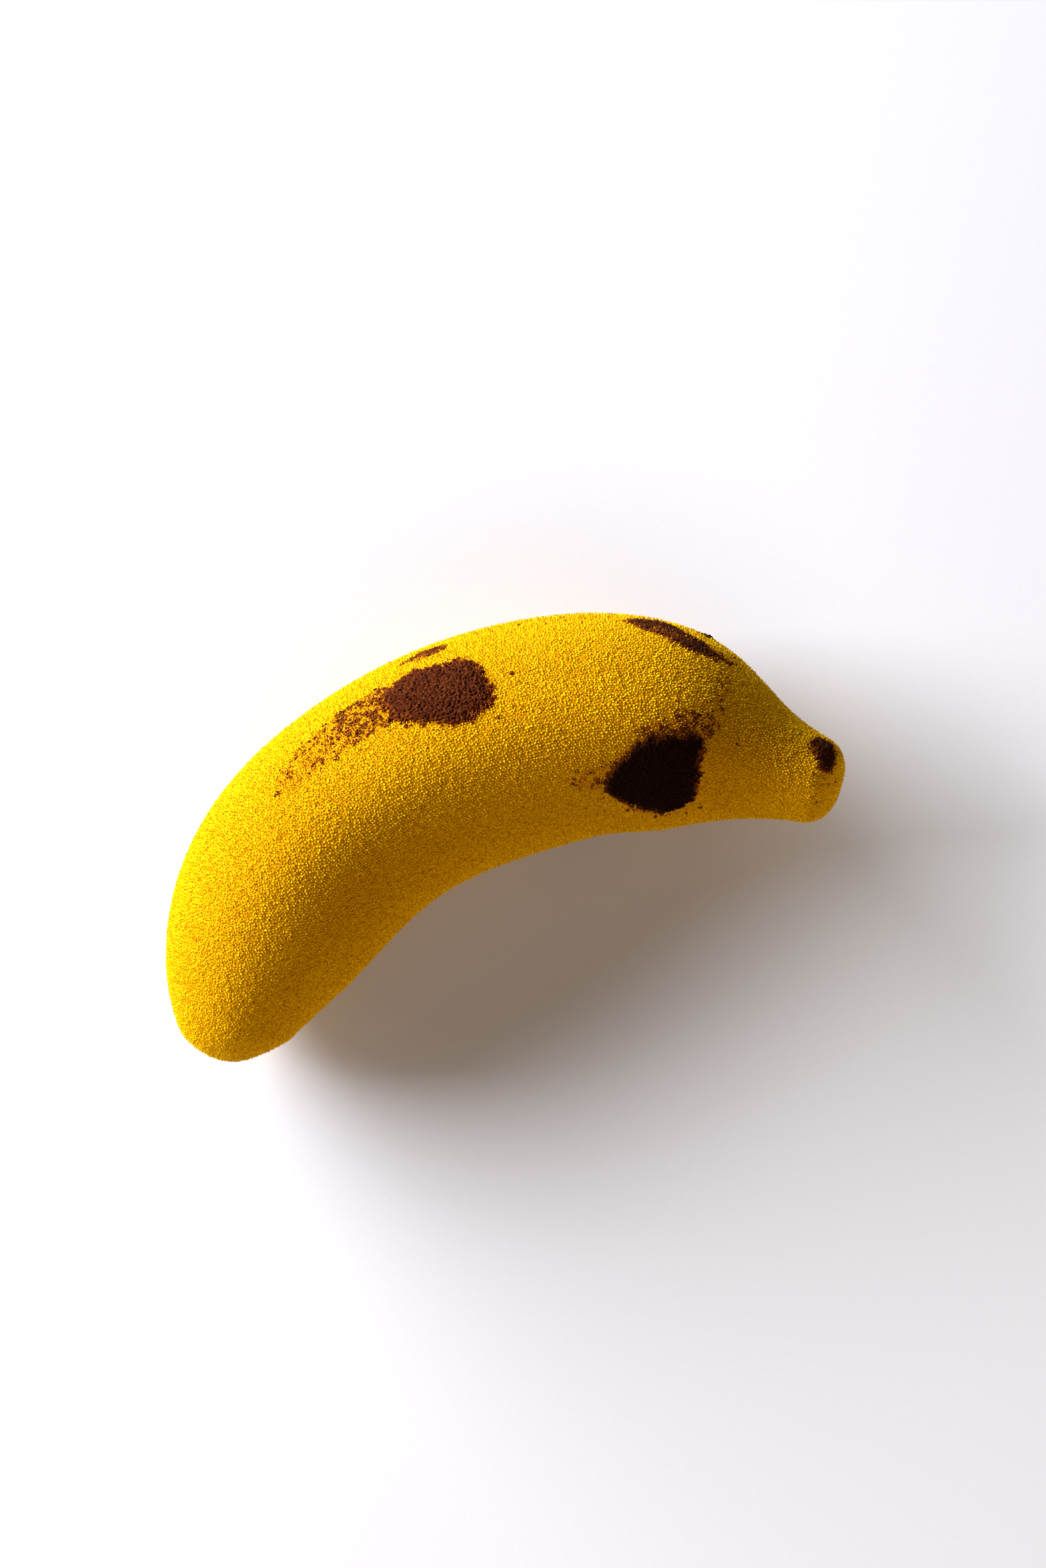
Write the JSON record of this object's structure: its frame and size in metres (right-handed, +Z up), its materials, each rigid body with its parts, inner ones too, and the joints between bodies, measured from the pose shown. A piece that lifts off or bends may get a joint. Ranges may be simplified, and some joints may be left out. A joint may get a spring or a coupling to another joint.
{
  "type": "banana_shaped_velvet_dessert",
  "caption": "Single-portion dessert moulded as a plump banana, with a pebbly yellow cocoa-butter velvet coat and dark patches of cocoa powder, lying on its side.",
  "frame": {"origin": "On the surface it lies on, under the middle of its outline box.", "axes": "+Z up, +X along the chord from the blossom end to the stem, +Y towards the outer side of the curve."},
  "size_m": [0.1216, 0.0536, 0.0379],
  "materials": {
    "velvet_coat": "matte velvet",
    "cocoa_powder": "matte powder"
  },
  "bodies": {
    "root": {"banana_body": "velvet_coat", "cocoa_front": "cocoa_powder", "cocoa_sliver": "cocoa_powder", "cocoa_ridge": "cocoa_powder", "cocoa_shoulder": "cocoa_powder", "cocoa_stem": "cocoa_powder", "cocoa_back": "cocoa_powder", "cocoa_inner": "cocoa_powder"}
  },
  "joints": []
}
